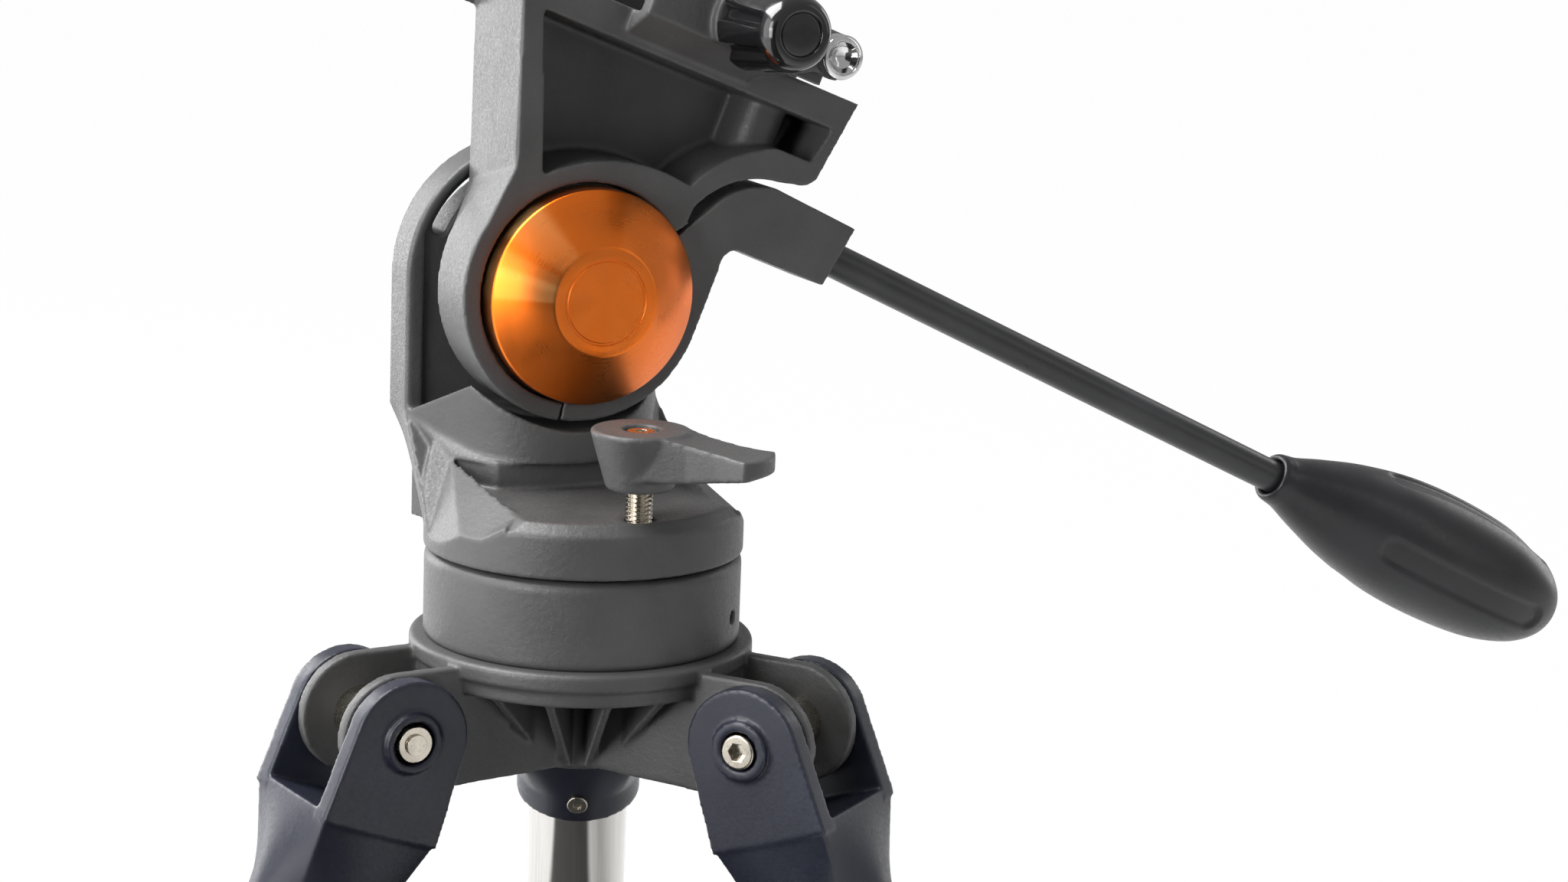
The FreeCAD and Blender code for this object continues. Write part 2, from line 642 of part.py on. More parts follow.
def bracket_seat():
    """Room in the drum's front for the handle bracket's plate and ring sector."""
    seat = cyl_y(0, ALT_Z, COUNTERBORE_R, FACE_Y - 1, BRACKET_BACK)
    sector = prism_y(
        uv(0.0, 0.0),
        [uv(24.5, 31.9), uv(60.0, 31.9), uv(60.0, -60.0), uv(10.5, -60.0)],
        FACE_Y - 1, BRACKET_BACK)
    return seat.fuse(sector.common(cyl_y(0, ALT_Z, DRUM_R + 4.0, FACE_Y - 1, BRACKET_BACK)))


def altitude_head():
    head = fuse_all([head_body(), clamp_block()])
    head = head.cut(head_pocket()).cut(bracket_seat())
    head = head.cut(cyl_y(0, ALT_Z, 9.0, 0, 50))
    for angle in (90, 210, 330):
        head = head.cut(bracket_screw_hole(angle))
    head = head.cut(cyl_y(CLAMP_U, ALT_Z + CLAMP_V, 4.05, -12, 0))
    head = head.cut(cyl_y(THUMB_U, ALT_Z + CLAMP_V, 3.05, -12, 0))
    x, z = polar(STOP_R, STOP_ANGLE + TILT)
    head = head.cut(cyl_y(x, z, STOP_PIN_R, 28, 40))
    return tilted(head)


def polar(radius, angle):
    turn = math.radians(angle)
    return radius * math.cos(turn), ALT_Z + radius * math.sin(turn)


def bracket_screw_hole(angle):
    x, z = polar(22.0, angle)
    return cyl_y(x, z, 2.5, 5.0, 26.0)


def bracket_screw(angle):
    x, z = polar(22.0, angle)
    head = Part.makeCone(4.6, 2.5, 2.1, V(x, 7.1, z), Y_AXIS)
    shank = cyl_y(x, z, 2.5, 9.2, 25.0)
    return tilted(head.fuse(shank).cut(hex_prism(V(x, 7.0, z), Y_AXIS, 3.0, 1.6)))


def stop_pin():
    x, z = polar(STOP_R, STOP_ANGLE)
    return cyl_y(x, z, STOP_PIN_R, 28, 52.5)


def altitude_bushing():
    return ring_y(0, ALT_Z, 9.0, SHAFT_R + 0.05, BRACKET_BACK, BEARING_BACK)


def pan_handle_bracket():
    """A round plate under the knob, its outer ring sector and the box that takes the rod."""
    plate = cyl_y(0, ALT_Z, COUNTERBORE_R - 0.3, 7.0, BRACKET_BACK)
    sector = prism_y(
        uv(12.0, 10.0),
        [uv(23.4, 29.2), uv(30.0, 39.6), (uv(37.5, 46.0), uv(45.5, 48.6)), uv(75.0, 46.3),
         uv(71.5, 27.1), uv(41.0, 27.5), (uv(37.9, 25.4), uv(37.4, 21.0)), uv(37.3, 0.0),
         (uv(27.5, -25.2), uv(6.9, -36.65)), uv(4.0, -20.0)],
        FACE_Y, 23.0)
    behind = cyl_y(0, ALT_Z, DRUM_R + 0.3, BRACKET_BACK - 0.05, 24.0)
    knob_room = cyl_y(0, ALT_Z, COUNTERBORE_R - 0.3, 0.0, 7.0)
    bracket = fuse_all([plate, sector.cut(behind).cut(knob_room)])
    bracket = bracket.cut(cyl_y(0, ALT_Z, SHAFT_R + 4, 0, 20))
    for angle in (90, 210, 330):
        x, z = polar(22.0, angle)
        bracket = bracket.cut(cyl_y(x, z, 2.55, 5.0, 14.0))
        bracket = bracket.cut(Part.makeCone(4.7, 2.5, 2.2, V(x, 7.0, z), Y_AXIS))
    bracket = tilted(bracket)
    return bracket.cut(along_rod(ROD_R + 0.05, -ROD_SUNK, 30.0))


def saddle_jaw():
    """The moving pressure jaw between the clamp block and the dovetail bar."""
    jaw = prism_x(
        (-1.2, ALT_Z + SEAT_V + 0.3),
        [(SEAT_FRONT, ALT_Z + SEAT_V + 0.3), (SEAT_FRONT + 3.2, ALT_Z + JAW_TOP),
         (-1.2, ALT_Z + JAW_TOP)],
        -16.0, 44.0)
    jaw = jaw.cut(cyl_y(THUMB_U, ALT_Z + CLAMP_V, 3.2, -5, 10))
    return tilted(jaw)


# ---- knobs and screws --------------------------------------------------------------------

def altitude_knob():
    """A broad cone with a flat nose, hollow behind."""
    profile = [(0.0, -11.5), (15.4, -11.5), (16.2, -11.1), (30.9, -3.0), (31.3, -2.2),
               (31.3, 5.1), (30.8, 5.6), (28.8, 5.6), (28.8, -0.5), (14.0, -5.0),
               (14.0, 4.6), (8.0, 4.6), (8.0, -6.5), (0.0, -6.5)]
    knob = turned(profile, V(0, 0, ALT_Z), Y_AXIS, X_AXIS)
    ring = ring_y(0, ALT_Z, 12.4, 11.6, -12.0, -11.2)
    return knob.cut(ring)


def knob_insert():
    return ring_y(0, ALT_Z, 8.0, SHAFT_TIP_R + 0.05, -6.5, 4.6)


def knob_spring_washer():
    return ring_y(0, ALT_Z, 13.6, SHAFT_TIP_R + 0.3, 4.75, 6.9)


def altitude_shaft():
    front = cyl_y(0, ALT_Z, SHAFT_TIP_R, -5.5, 10.0)
    middle = cyl_y(0, ALT_Z, SHAFT_R, 10.0, 49.0)
    rear = cyl_y(0, ALT_Z, SHAFT_TIP_R, 49.0, 58.0)
    return front.fuse(middle).fuse(rear)


def shaft_nut():
    nut = hex_prism(V(0, 51.0, ALT_Z), Y_AXIS, 16.0, 6.0)
    return nut.cut(cyl_y(0, ALT_Z, SHAFT_TIP_R, 48, 60))


def clamp_knob():
    """A lobed knob tapering to a round nose, drawn about its screw axis."""
    back, front = -10.3, -36.8
    body = Part.makeCone(13.6, 10.6, back - front, V(CLAMP_U, back, ALT_Z + CLAMP_V), V(0, -1, 0))
    for i in range(7):
        turn = math.radians(360 / 7 * i + 12)
        reach = 15.2
        flute = Part.makeCone(4.1, 5.2, back - front - 4.0,
                              V(CLAMP_U + reach * math.cos(turn), back - 4.0,
                                ALT_Z + CLAMP_V + reach * math.sin(turn)), V(0, -1, 0))
        body = body.cut(flute)
    body = body.cut(cyl_y(CLAMP_U, ALT_Z + CLAMP_V, 7.6, -37.5, -35.0))
    body = body.cut(cyl_y(CLAMP_U, ALT_Z + CLAMP_V, 4.0, -31.0, 0.0))
    return tilted(body)


def clamp_knob_cap():
    cap = cyl_y(CLAMP_U, ALT_Z + CLAMP_V, 7.5, -38.0, -35.05)
    front = [e for e in cap.Edges if abs(e.BoundBox.YMax + 38.0) < 0.01]
    return tilted(cap.makeFillet(1.2, front))


def clamp_screw():
    return tilted(cyl_y(CLAMP_U, ALT_Z + CLAMP_V, 4.0, -30.9, -1.3))


def thumb_screw():
    """A knurled thumbscrew with a dished face and a long stem."""
    z = ALT_Z + CLAMP_V
    head = turned([(0.0, -21.0), (3.0, -21.4), (5.0, -23.0), (5.9, -23.0), (6.5, -22.4),
                   (6.5, -17.6), (6.0, -17.0), (4.2, -17.0), (3.6, -12.0), (3.0, -12.0),
                   (3.0, -1.6), (2.4, 1.2), (0.0, 1.2)],
                  V(THUMB_U, 0, z), Y_AXIS, X_AXIS)
    for i in range(24):
        turn = math.radians(15 * i)
        notch = cyl_y(THUMB_U + 6.7 * math.cos(turn), z + 6.7 * math.sin(turn), 0.4,
                      -22.6, -17.4)
        head = head.cut(notch)
    return tilted(head)


# ---- pan handle --------------------------------------------------------------------------

def along_rod(radius, start, end):
    """A cylinder on the rod's axis, measured from where the rod leaves the bracket."""
    slope = math.radians(ROD_SLOPE)
    axis = V(math.cos(slope), 0, -math.sin(slope))
    base = V(ROD_X, ROD_Y, ROD_Z) + axis * start
    return Part.makeCylinder(radius, end - start, base, axis)


def handle_rod():
    return along_rod(ROD_R, -ROD_SUNK + 0.5, GRIP_START + 60.0)


def handle_grip():
    """A swelling grip turned from a smooth curve, bored for the rod."""
    slope = math.radians(ROD_SLOPE)
    axis = V(math.cos(slope), 0, -math.sin(slope))
    radial = V(math.sin(slope), 0, math.cos(slope))
    start = V(ROD_X, ROD_Y, ROD_Z) + axis * GRIP_START
    points = [start + radial * r + axis * s for r, s in GRIP_PROFILE]
    curve = Part.BSplineCurve()
    curve.interpolate(points)
    edges = [curve.toShape(), Part.makeLine(points[-1], start), Part.makeLine(start, points[0])]
    grip = Part.Face(Part.Wire(edges)).revolve(start, axis, 360)
    grip = Part.Solid(grip) if grip.ShapeType != "Solid" else grip
    return grip.cut(along_rod(ROD_R, GRIP_START - 1, GRIP_START + 60.0))


# ---- every sub-part ----------------------------------------------------------------------

def all_parts():
    parts = {
        "tripod_hub": tripod_hub(),
        "base_fixing_screws": base_fixing_screws(),
        "leg_pivot_bolts": three_around(leg_pivot_bolt()),
        "leg_pivot_nuts": three_around(leg_pivot_nut()),
        "leg_pivot_spacers": three_around(leg_pivot_spacer()),
        "leg_pivot_washers": leg_pivot_washers(),
        "azimuth_base": azimuth_base(),
        "base_set_screw": base_set_screw(),
        "azimuth_bushing": ring_z(0, 0, 11.0, SPINDLE_R + 0.05, FLANGE_TOP, BASE_TOP),
        "azimuth_arm": azimuth_arm(),
        "azimuth_spindle": azimuth_spindle(),
        "azimuth_thrust_washer": ring_z(0, 0, 16.5, SPINDLE_R, 62.65, DISC_BOTTOM),
        "spindle_washer": ring_z(0, 0, 12.5, SPINDLE_TIP_R, 34.95, 37.1),
        "spindle_nut": spindle_nut(),
        "brake_pad": cyl_z(0, STUD_Y, 3.98, 62.7, 66.1),
        "altitude_shaft": altitude_shaft(),
        "shaft_washer": ring_y(0, ALT_Z, 11.0, SHAFT_TIP_R, 49.0, 51.0),
        "shaft_nut": shaft_nut(),
        "friction_washer": ring_y(0, ALT_Z, 26.0, SHAFT_R, 38.05, PLATE_FRONT - 0.6),
        "altitude_head": altitude_head(),
        "altitude_bushing": altitude_bushing(),
        "altitude_stop_pin": stop_pin(),
        "pan_handle_bracket": pan_handle_bracket(),
        "bracket_screws": [bracket_screw(angle) for angle in (90, 210, 330)],
        "saddle_jaw": saddle_jaw(),
        "altitude_knob": altitude_knob(),
        "knob_insert": knob_insert(),
        "knob_spring_washer": knob_spring_washer(),
        "lock_lever": lock_lever(),
        "lock_stud": lock_stud(),
        "lever_cap_screw": lever_cap_screw(),
        "clamp_knob": clamp_knob(),
        "clamp_knob_cap": clamp_knob_cap(),
        "clamp_screw": clamp_screw(),
        "thumb_screw": thumb_screw(),
        "handle_rod": handle_rod(),
        "handle_grip": handle_grip(),
    }
    for number, azimuth in enumerate(LEG_AZIMUTHS, start=1):
        parts[f"leg_yoke_{number}"] = leg_frame(leg_yoke(), azimuth)
        parts[f"leg_tube_{number}"] = leg_frame(leg_tube(), azimuth)
        parts[f"leg_set_screw_{number}"] = leg_frame(leg_set_screw(), azimuth)
    return parts


def main():
    os.makedirs("parts", exist_ok=True)
    for name, shape in all_parts().items():
        if isinstance(shape, list):
            shape = Part.makeCompound(shape)
        shape.exportStep(f"parts/{name}.step")
        print(name, "solids", len(shape.Solids), "valid", shape.isValid(),
              "volume", round(shape.Volume))


main()
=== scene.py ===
"""Looks for an alt-azimuth mount head on a folding tripod hub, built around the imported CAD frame.

Lengths are in metres in the CAD's own frame: +Z is the azimuth axis, the altitude axis is
parallel to Y with its clutch knob on the -Y side, and the pan handle points towards +X.
"""
import json
import math
import bmesh
import bpy
from mathutils import Matrix, Vector

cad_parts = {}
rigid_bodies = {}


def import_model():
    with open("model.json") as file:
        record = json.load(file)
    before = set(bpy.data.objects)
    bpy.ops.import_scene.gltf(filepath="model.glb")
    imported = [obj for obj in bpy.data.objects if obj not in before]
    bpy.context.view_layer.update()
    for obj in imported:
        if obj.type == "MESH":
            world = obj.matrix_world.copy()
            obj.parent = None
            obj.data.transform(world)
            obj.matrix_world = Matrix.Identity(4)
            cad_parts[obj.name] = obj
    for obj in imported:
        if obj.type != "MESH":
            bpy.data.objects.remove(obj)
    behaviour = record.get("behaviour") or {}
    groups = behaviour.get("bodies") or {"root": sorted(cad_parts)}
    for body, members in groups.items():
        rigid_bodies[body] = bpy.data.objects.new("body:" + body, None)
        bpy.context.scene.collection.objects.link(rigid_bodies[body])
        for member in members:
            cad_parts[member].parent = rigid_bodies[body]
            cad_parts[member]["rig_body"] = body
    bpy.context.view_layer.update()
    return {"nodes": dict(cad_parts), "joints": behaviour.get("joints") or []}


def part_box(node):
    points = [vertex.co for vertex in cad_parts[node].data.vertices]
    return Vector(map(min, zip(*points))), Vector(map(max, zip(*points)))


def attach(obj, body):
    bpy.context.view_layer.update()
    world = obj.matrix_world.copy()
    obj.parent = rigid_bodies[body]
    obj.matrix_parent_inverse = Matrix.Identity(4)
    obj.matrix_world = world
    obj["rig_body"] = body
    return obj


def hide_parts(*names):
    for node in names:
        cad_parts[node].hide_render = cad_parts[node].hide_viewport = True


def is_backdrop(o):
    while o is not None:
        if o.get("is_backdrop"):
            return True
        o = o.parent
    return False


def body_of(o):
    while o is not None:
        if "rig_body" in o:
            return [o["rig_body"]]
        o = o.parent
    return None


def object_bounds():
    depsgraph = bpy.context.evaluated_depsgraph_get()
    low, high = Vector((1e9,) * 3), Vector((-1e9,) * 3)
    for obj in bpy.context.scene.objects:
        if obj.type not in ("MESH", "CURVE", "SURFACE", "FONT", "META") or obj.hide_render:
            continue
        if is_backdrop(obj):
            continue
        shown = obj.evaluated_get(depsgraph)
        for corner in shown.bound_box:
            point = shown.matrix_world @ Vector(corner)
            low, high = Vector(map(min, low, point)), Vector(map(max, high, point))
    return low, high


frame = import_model()

MM = 0.001
NODES = frame["nodes"]
JOINTS = {joint["name"]: joint for joint in frame["joints"]}

# Metric coarse thread of the lock stud and the clamp screw
THREAD_RADIUS = 4.0 * MM
THREAD_PITCH = 1.25 * MM

# Castings and mouldings are rebuilt on a grid of this cell, smoothed and thinned out
GRID = 0.6 * MM
CASTING_PASSES = 5
MOULDING_PASSES = 4
SHARE_OF_FACES_KEPT = 0.4

# Camera: azimuth, elevation and roll in degrees, then its distance from the point it aims at,
# and where that point lies from the azimuth axis along the camera's right and up
VIEW_ANGLES = (-26.91, 11.95, 2.20)
VIEW_DISTANCE = 1.039
AIM_RIGHT = 58.2 * MM
AIM_UP = 29.9 * MM
FOCAL_LENGTH = 82.2
SENSOR_WIDTH = 36.0

# Area lights: name, direction as (right, up, back) seen from the camera, distance, width,
# height, and power in watts
LIGHTS = (
    ("left_box", (-1.0, 0.20, 0.35), 1.5, 0.8, 1.2, 7.0),
    ("low_left_card", (-0.85, -0.02, 1.0), 0.9, 0.4, 0.35, 2.8),
    ("right_box", (1.0, 0.25, 0.30), 1.7, 0.35, 1.2, 1.2),
    ("top_box", (-0.65, 1.0, 0.25), 1.5, 1.1, 0.9, 38.0),
    ("front_box", (-0.95, 0.30, 1.0), 1.9, 0.6, 0.7, 8.0),
    ("back_left_box", (-0.9, 0.3, -0.7), 1.6, 0.6, 1.4, 16.0),
    ("back_right_box", (0.9, 0.3, -0.8), 1.7, 0.5, 1.2, 4.0),
)

# The surround and the floor are pale all round, and dim within a wedge about the camera
SKY_PALE = 0.40
SKY_DIM = 0.03
WEDGE_OUTER = 26.0          # degrees from the middle of the wedge
WEDGE_INNER = 21.0
WEDGE_TURN = 0.16           # how far the middle lies to the camera's left, per unit of depth
WEDGE_START = 160 * MM      # the floor's wedge starts this far behind the azimuth axis
FLOOR_HALF = 4.0
FLOOR_GAP = 0.5 * MM
PAPER_SHARE = 0.02          # share of the real floor in what the camera sees of it


# ---- node trees --------------------------------------------------------------------------

def put(tree, kind, inputs=None, **settings):
    """Adds a shader node. An input value is a socket to link or a plain value."""
    node = tree.nodes.new(kind)
    for name, value in settings.items():
        setattr(node, name, value)
    for name, value in (inputs or {}).items():
        if isinstance(value, bpy.types.NodeSocket):
            tree.links.new(value, node.inputs[name])
        else:
            node.inputs[name].default_value = value
    return node


def blank_material(name, **values):
    """A material with a Principled shader: returns it with its tree, shader and coordinates."""
    material = bpy.data.materials.new(name)
    material.use_nodes = True
    tree = material.node_tree
    shader = tree.nodes["Principled BSDF"]
    for key, value in values.items():
        shader.inputs[key.replace("_", " ")].default_value = value
    place = put(tree, "ShaderNodeTexCoord").outputs["Object"]
    return material, tree, shader, place


def noise(tree, place, scale, detail=2.0, rough=0.5):
    node = put(tree, "ShaderNodeTexNoise",
               {"Vector": place, "Scale": scale, "Detail": detail, "Roughness": rough})
    return node.outputs["Fac"]


def ramp(tree, value, low, high, to_low=0.0, to_high=1.0):
    """Maps low..high to to_low..to_high, clamped."""
    node = put(tree, "ShaderNodeMapRange", {"Value": value, "From Min": low, "From Max": high,
                                            "To Min": to_low, "To Max": to_high})
    return node.outputs["Result"]


def math_node(tree, operation, first, second=0.0):
    return put(tree, "ShaderNodeMath", {0: first, 1: second}, operation=operation).outputs[0]


def mix_colour(tree, factor, first, second):
    """Blends two colours. Colour sockets of a Mix node are its seventh and eighth inputs."""
    node = tree.nodes.new("ShaderNodeMix")
    node.data_type = "RGBA"
    for index, value in ((0, factor), (6, first), (7, second)):
        if isinstance(value, bpy.types.NodeSocket):
            tree.links.new(value, node.inputs[index])
        else:
            node.inputs[index].default_value = value
    return node.outputs[2]


def grey(value):
    return (value, value, value, 1.0)


def rounded_normal(tree, radius, samples=5):
    """The normal of an edge softened by radius, and a mask that is 1 on such edges."""
    soft = put(tree, "ShaderNodeBevel", {"Radius": radius}, samples=samples).outputs["Normal"]
    true = put(tree, "ShaderNodeNewGeometry").outputs["Normal"]
    dot = put(tree, "ShaderNodeVectorMath", {0: soft, 1: true}, operation="DOT_PRODUCT")
    return soft, ramp(tree, dot.outputs["Value"], 0.995, 0.86)


def bump(tree, height, distance, strength=1.0, normal=None):
    inputs = {"Height": height, "Distance": distance, "Strength": strength}
    if normal is not None:
        inputs["Normal"] = normal
    return put(tree, "ShaderNodeBump", inputs).outputs["Normal"]


# ---- materials ---------------------------------------------------------------------------

def cast_paint(name="cast_grey", dark=0.058, light=0.080, lit_worn_edge_grey=0.30):
    """Textured powder coat on a die casting: sandy grain, soft mottling, and edges lightened partly by
    a painted edge highlight and partly by rubbed paint.
    """
    material, tree, shader, place = blank_material(name, Metallic=0.0)
    grain = noise(tree, place, 1500.0, 3.0, 0.6)
    pebbles = noise(tree, place, 520.0, 2.0)
    mottle = noise(tree, place, 38.0, 3.0)
    soft, edge = rounded_normal(tree, 0.8 * MM)
    # painted edge highlight: the softened edges are lightened towards a pale grey, in patches like
    # rubbed paint
    edge_highlight_and_wear = math_node(tree, "MULTIPLY", edge, ramp(tree, noise(tree, place, 160.0, 4.0), 0.35, 0.62))
    coat = mix_colour(tree, ramp(tree, mottle, 0.35, 0.7), grey(dark), grey(light))
    fleck = ramp(tree, grain, 0.62, 0.78, 0.0, 0.35)
    coat = mix_colour(tree, fleck, coat, grey(light * 1.9))
    colour = mix_colour(tree, math_node(tree, "MULTIPLY", edge_highlight_and_wear, 0.75), coat, grey(lit_worn_edge_grey))
    tree.links.new(colour, shader.inputs["Base Color"])
    rough = ramp(tree, grain, 0.3, 0.7, 0.32, 0.56)
    tree.links.new(rough, shader.inputs["Roughness"])
    fine = bump(tree, grain, 0.12 * MM, 0.55, soft)
    tree.links.new(bump(tree, pebbles, 0.22 * MM, 0.5, fine), shader.inputs["Normal"])
    return material


def navy_plastic(name="navy_plastic"):
    """Very dark blue moulded plastic with a faint sheen, and edges lightened partly by a painted edge
    highlight and partly by fine scuffs.
    """
    material, tree, shader, place = blank_material(name, Metallic=0.0)
    grain = noise(tree, place, 900.0, 2.0)
    cloud = noise(tree, place, 30.0, 3.0)
    soft, edge = rounded_normal(tree, 0.7 * MM)
    base = mix_colour(tree, ramp(tree, cloud, 0.35, 0.7),
                      (0.0115, 0.0128, 0.0225, 1.0), (0.019, 0.0215, 0.036, 1.0))
    # painted edge highlight: the softened edges are lightened, in patches like fine scuffs
    edge_highlight_and_wear = math_node(tree, "MULTIPLY", edge, ramp(tree, cloud, 0.3, 0.6, 0.15, 0.6))
    colour = mix_colour(tree, edge_highlight_and_wear, base, (0.07, 0.075, 0.095, 1.0))
    tree.links.new(colour, shader.inputs["Base Color"])
    tree.links.new(ramp(tree, grain, 0.3, 0.7, 0.30, 0.44), shader.inputs["Roughness"])
    tree.links.new(bump(tree, grain, 0.1 * MM, 0.35, soft), shader.inputs["Normal"])
    return material


def turned_metal(name, colour, roughness, anisotropy, centre, axis, line_scale=2600.0):
    """Metal turned on a lathe: fine rings about an axis and streaks that fan out from it."""
    material, tree, shader, place = blank_material(name, Metallic=1.0)
    offset = put(tree, "ShaderNodeVectorMath", {0: place, 1: tuple(centre)}, operation="SUBTRACT")
    around = put(tree, "ShaderNodeVectorMath", {0: tuple(axis), 1: offset.outputs[0]},
                 operation="CROSS_PRODUCT").outputs[0]
    tangent = put(tree, "ShaderNodeVectorTransform", {0: around}, vector_type="VECTOR",
                  convert_from="OBJECT", convert_to="WORLD").outputs[0]
    tree.links.new(tangent, shader.inputs["Tangent"])
    radius = put(tree, "ShaderNodeVectorMath", {0: around}, operation="LENGTH").outputs["Value"]
    along = put(tree, "ShaderNodeVectorMath", {0: offset.outputs[0], 1: tuple(axis)},
                operation="DOT_PRODUCT").outputs["Value"]
    track = put(tree, "ShaderNodeCombineXYZ", {"X": radius, "Y": along}).outputs[0]
    rings = noise(tree, track, line_scale, 3.0, 0.65)
    cloud = noise(tree, place, 70.0, 3.0)
    shade = tuple(c * 0.97 for c in colour[:3]) + (1.0,)
    tone = mix_colour(tree, ramp(tree, rings, 0.35, 0.65), shade, colour)
    tree.links.new(tone, shader.inputs["Base Color"])
    shader.inputs["Anisotropic"].default_value = anisotropy
    rough = math_node(tree, "ADD", ramp(tree, rings, 0.3, 0.7, -0.012, 0.012),
                      ramp(tree, cloud, 0.3, 0.7, roughness * 0.9, roughness * 1.15))
    tree.links.new(rough, shader.inputs["Roughness"])
    soft, _ = rounded_normal(tree, 0.35 * MM)
    normal = bump(tree, rings, 0.01 * MM, 0.05, soft)
    tree.links.new(normal, shader.inputs["Normal"])
    sheen = put(tree, "ShaderNodeBsdfAnisotropic",
                {"Color": (1.0, 0.74, 0.30, 1.0), "Roughness": roughness * 0.8,
                 "Anisotropy": anisotropy, "Tangent": tangent, "Normal": normal})
    varnished = put(tree, "ShaderNodeMixShader",
                    {0: 0.07, 1: shader.outputs[0], 2: sheen.outputs[0]})
    tree.links.new(varnished.outputs[0], tree.nodes["Material Output"].inputs["Surface"])
    return material


def plated_steel(name, colour, roughness=0.2):
    """Bright plated fastener: smooth, slightly uneven, with dull specks."""
    material, tree, shader, place = blank_material(name, Metallic=1.0)
    speck = noise(tree, place, 1100.0, 3.0)
    cloud = noise(tree, place, 160.0, 3.0)
    dull = tuple(c * 0.7 for c in colour[:3]) + (1.0,)
    tree.links.new(mix_colour(tree, ramp(tree, cloud, 0.4, 0.7), colour, dull),
                   shader.inputs["Base Color"])
    tree.links.new(ramp(tree, speck, 0.3, 0.75, roughness * 0.7, roughness * 1.6),
                   shader.inputs["Roughness"])
    soft, _ = rounded_normal(tree, 0.2 * MM)
    tree.links.new(bump(tree, speck, 0.02 * MM, 0.3, soft), shader.inputs["Normal"])
    return material


def tube_steel(name, direction):
    """Polished stainless tube with fine drawing lines along it."""
    material, tree, shader, place = blank_material(name, Metallic=1.0)
    axis = Vector(direction).normalized()
    along = put(tree, "ShaderNodeVectorMath", {0: place, 1: tuple(axis)}, operation="DOT_PRODUCT")
    lift = put(tree, "ShaderNodeVectorMath", {0: tuple(axis), "Scale": along.outputs["Value"]},
               operation="SCALE")
    flat = put(tree, "ShaderNodeVectorMath", {0: place, 1: lift.outputs[0]}, operation="SUBTRACT")
    slow = put(tree, "ShaderNodeVectorMath", {0: lift.outputs[0], "Scale": 0.02},
               operation="SCALE")
    track = put(tree, "ShaderNodeVectorMath", {0: flat.outputs[0], 1: slow.outputs[0]},
                operation="ADD").outputs[0]
    lines = noise(tree, track, 1800.0, 3.0, 0.6)
    smear = noise(tree, place, 60.0, 3.0)
    tree.links.new(mix_colour(tree, ramp(tree, lines, 0.3, 0.7), (0.60, 0.585, 0.56, 1.0),
                              (0.72, 0.71, 0.69, 1.0)), shader.inputs["Base Color"])
    tree.links.new(math_node(tree, "ADD", ramp(tree, lines, 0.3, 0.7, 0.0, 0.05),
                             ramp(tree, smear, 0.3, 0.7, 0.08, 0.13)), shader.inputs["Roughness"])
    tree.links.new(bump(tree, lines, 0.01 * MM, 0.3), shader.inputs["Normal"])
    return material


def black_moulded(name, colour, roughness, grain_size, coat=0.0):
    """Black plastic or paint with a light grain and slight unevenness."""
    material, tree, shader, place = blank_material(name, Metallic=0.0)
    grain = noise(tree, place, grain_size, 3.0)
    cloud = noise(tree, place, 45.0, 3.0)
    lighter = tuple(c * 1.7 for c in colour[:3]) + (1.0,)
    tree.links.new(mix_colour(tree, ramp(tree, cloud, 0.4, 0.75), colour, lighter),
                   shader.inputs["Base Color"])
    tree.links.new(math_node(tree, "ADD", ramp(tree, grain, 0.3, 0.7, -0.05, 0.05),
                             ramp(tree, cloud, 0.3, 0.7, roughness * 0.9, roughness * 1.15)),
                   shader.inputs["Roughness"])
    shader.inputs["Coat Weight"].default_value = coat
    shader.inputs["Coat Roughness"].default_value = 0.06
    soft, _ = rounded_normal(tree, 0.4 * MM)
    tree.links.new(bump(tree, grain, 0.05 * MM, 0.3, soft), shader.inputs["Normal"])
    return material


def pale_plastic(name, colour):
    """Waxy washer plastic."""
    material, tree, shader, place = blank_material(name, Metallic=0.0, Roughness=0.45)
    cloud = noise(tree, place, 300.0, 3.0)
    shade = tuple(c * 0.8 for c in colour[:3]) + (1.0,)
    tree.links.new(mix_colour(tree, cloud, colour, shade), shader.inputs["Base Color"])
    tree.links.new(bump(tree, cloud, 0.05 * MM, 0.3), shader.inputs["Normal"])
    shader.inputs["Subsurface Weight"].default_value = 0.1
    return material


# ---- mesh helpers ------------------------------------------------------------------------

def spin_axes(joint_name):
    """Point on a joint's axis, the axis, and two directions square to it."""
    joint = JOINTS[joint_name]
    axis = Vector(joint["axis"]).normalized()
    side = axis.orthogonal().normalized()
    return Vector(joint["pos_m"]), axis, side, axis.cross(side)


def along_axis(node, origin, axis):
    """Lowest and highest distance of a CAD node's points along an axis."""
    reach = [(vertex.co - origin).dot(axis) for vertex in NODES[node].data.vertices]
    return min(reach), max(reach)


def mesh_object(name, bm, material, body, slot, *stands_for):
    """Makes a piece from a bmesh, rides it on a body and hides the CAD nodes it stands for."""
    bmesh.ops.recalc_face_normals(bm, faces=bm.faces)
    mesh = bpy.data.meshes.new(name)
    bm.to_mesh(mesh)
    bm.free()
    piece = bpy.data.objects.new(name, mesh)
    bpy.context.scene.collection.objects.link(piece)
    mesh.materials.append(material)
    mesh.shade_smooth()
    mesh.set_sharp_from_angle(angle=math.radians(38))
    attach(piece, body)
    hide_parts(*stands_for)


def skin_rings(bm, rings):
    """Faces between successive rings of equal length, with a cap on each end."""
    for lower, upper in zip(rings, rings[1:]):
        count = len(lower)
        for i in range(count):
            j = (i + 1) % count
            bm.faces.new((lower[i], lower[j], upper[j], upper[i]))
    bm.faces.new(rings[0])
    bm.faces.new(rings[-1])


